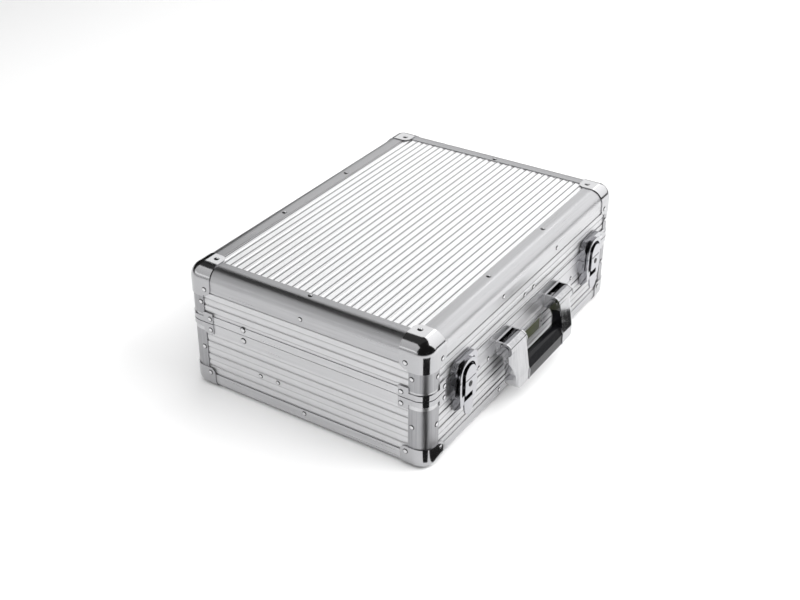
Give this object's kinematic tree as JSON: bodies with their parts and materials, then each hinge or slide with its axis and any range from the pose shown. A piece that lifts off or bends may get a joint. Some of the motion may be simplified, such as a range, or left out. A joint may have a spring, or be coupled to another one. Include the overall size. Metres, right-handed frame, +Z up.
{
  "type": "tool case",
  "caption": "Aluminium tool case with ribbed panels, rounded metal corners, two draw latches on the front, a drop handle between them and a rear-hinged lid.",
  "frame": {"origin": "middle of the case's footprint, on the plane that its four bottom corners stand on", "axes": "+X to the right as seen from the front, along the long side; +Y from the front (handle) to the rear (hinge); +Z up"},
  "size_m": [0.4624, 0.3617, 0.1644],
  "materials": {
    "ribbed_sheet": "satin, rolled ribs",
    "extrusion": "anodised satin",
    "plated_steel": "bright plated",
    "latch_metal": "plated, slightly dull",
    "hinge_steel": "zinc plated",
    "liner": "black, fine grain",
    "seal": "matt",
    "grip": "gloss black",
    "label": "dark olive field, bare"
  },
  "bodies": {
    "base": {"base_panel_bottom": "ribbed_sheet", "base_panel_front": "ribbed_sheet", "base_panel_rear": "ribbed_sheet", "base_panel_left": "ribbed_sheet", "base_panel_right": "ribbed_sheet", "base_edge_front": "extrusion", "base_edge_rear": "extrusion", "base_edge_left": "extrusion", "base_edge_right": "extrusion", "base_corner_posts": "extrusion", "base_rim": "extrusion", "base_ball_corners": "plated_steel", "base_rim_clamps": "plated_steel", "base_liner": "liner", "hinge_leaf_base": "hinge_steel", "hinge_pin": "hinge_steel", "stay_pins_base": "hinge_steel", "label_plate": "label", "handle_bracket_left": "plated_steel", "handle_bracket_right": "plated_steel", "handle_pins": "plated_steel", "latch_base_left": "latch_metal", "latch_base_right": "latch_metal", "latch_pivot_pins": "latch_metal"},
    "lid": {"lid_panel_top": "ribbed_sheet", "lid_panel_front": "ribbed_sheet", "lid_panel_rear": "ribbed_sheet", "lid_panel_left": "ribbed_sheet", "lid_panel_right": "ribbed_sheet", "lid_edge_front": "extrusion", "lid_edge_rear": "extrusion", "lid_edge_left": "extrusion", "lid_edge_right": "extrusion", "lid_corner_posts": "extrusion", "lid_rim": "extrusion", "lid_seal": "seal", "lid_ball_corners": "plated_steel", "lid_rim_clamps": "plated_steel", "lid_liner": "liner", "hinge_leaf_lid": "hinge_steel", "stay_pins_lid": "hinge_steel", "latch_keeper_left": "latch_metal", "latch_keeper_right": "latch_metal"},
    "handle": {"handle_arm_left": "plated_steel", "handle_arm_right": "plated_steel", "handle_grip": "grip", "handle_strip": "plated_steel"},
    "latch_lever_left": {"latch_lever_left": "latch_metal"},
    "latch_hook_left": {"latch_hook_left": "latch_metal"},
    "lock_plug_left": {"lock_plug_left": "latch_metal"},
    "stay_link_base_left": {"stay_link_base_left": "hinge_steel"},
    "stay_link_lid_left": {"stay_link_lid_left": "hinge_steel"},
    "latch_lever_right": {"latch_lever_right": "latch_metal"},
    "latch_hook_right": {"latch_hook_right": "latch_metal"},
    "lock_plug_right": {"lock_plug_right": "latch_metal"},
    "stay_link_base_right": {"stay_link_base_right": "hinge_steel"},
    "stay_link_lid_right": {"stay_link_lid_right": "hinge_steel"}
  },
  "joints": [
    {"name": "lid_hinge", "type": "hinge", "parent": "base", "child": "lid", "pos_m": [0, 0.1672, 0.0923], "axis": [-1, 0, 0], "range_deg": [0, 95]},
    {"name": "handle_swing", "type": "hinge", "parent": "base", "child": "handle", "pos_m": [0, -0.176, 0.0812], "axis": [-1, 0, 0], "range_deg": [0, 155]},
    {"name": "latch_lever_turn_left", "type": "hinge", "parent": "base", "child": "latch_lever_left", "pos_m": [-0.1605, -0.171, 0.0885], "axis": [-1, 0, 0], "range_deg": [0, 90]},
    {"name": "latch_hook_turn_left", "type": "hinge", "parent": "latch_lever_left", "child": "latch_hook_left", "pos_m": [-0.1605, -0.171, 0.082], "axis": [-1, 0, 0], "range_deg": [-90, 0]},
    {"name": "lock_turn_left", "type": "hinge", "parent": "latch_lever_left", "child": "lock_plug_left", "pos_m": [-0.1605, -0.174, 0.0845], "axis": [0, -1, 0], "range_deg": [0, 90]},
    {"name": "stay_base_turn_left", "type": "hinge", "parent": "base", "child": "stay_link_base_left", "pos_m": [-0.2208, 0.0835, 0.085], "axis": [-1, 0, 0], "range_deg": [0, 95]},
    {"name": "stay_lid_turn_left", "type": "hinge", "parent": "lid", "child": "stay_link_lid_left", "pos_m": [-0.2208, 0.0835, 0.0996], "axis": [-1, 0, 0], "range_deg": [-95, 0]},
    {"name": "latch_lever_turn_right", "type": "hinge", "parent": "base", "child": "latch_lever_right", "pos_m": [0.1605, -0.171, 0.0885], "axis": [-1, 0, 0], "range_deg": [0, 90]},
    {"name": "latch_hook_turn_right", "type": "hinge", "parent": "latch_lever_right", "child": "latch_hook_right", "pos_m": [0.1605, -0.171, 0.082], "axis": [-1, 0, 0], "range_deg": [-90, 0]},
    {"name": "lock_turn_right", "type": "hinge", "parent": "latch_lever_right", "child": "lock_plug_right", "pos_m": [0.1605, -0.174, 0.0845], "axis": [0, -1, 0], "range_deg": [0, 90]},
    {"name": "stay_base_turn_right", "type": "hinge", "parent": "base", "child": "stay_link_base_right", "pos_m": [0.2208, 0.0835, 0.085], "axis": [-1, 0, 0], "range_deg": [0, 95]},
    {"name": "stay_lid_turn_right", "type": "hinge", "parent": "lid", "child": "stay_link_lid_right", "pos_m": [0.2208, 0.0835, 0.0996], "axis": [-1, 0, 0], "range_deg": [-95, 0]}
  ],
  "couplings": [
    {"joint": "latch_hook_turn_left", "follows": "latch_lever_turn_left", "ratio": -1},
    {"joint": "stay_base_turn_left", "follows": "lid_hinge", "ratio": 1},
    {"joint": "stay_lid_turn_left", "follows": "lid_hinge", "ratio": -1},
    {"joint": "latch_hook_turn_right", "follows": "latch_lever_turn_right", "ratio": -1},
    {"joint": "stay_base_turn_right", "follows": "lid_hinge", "ratio": 1},
    {"joint": "stay_lid_turn_right", "follows": "lid_hinge", "ratio": -1}
  ]
}
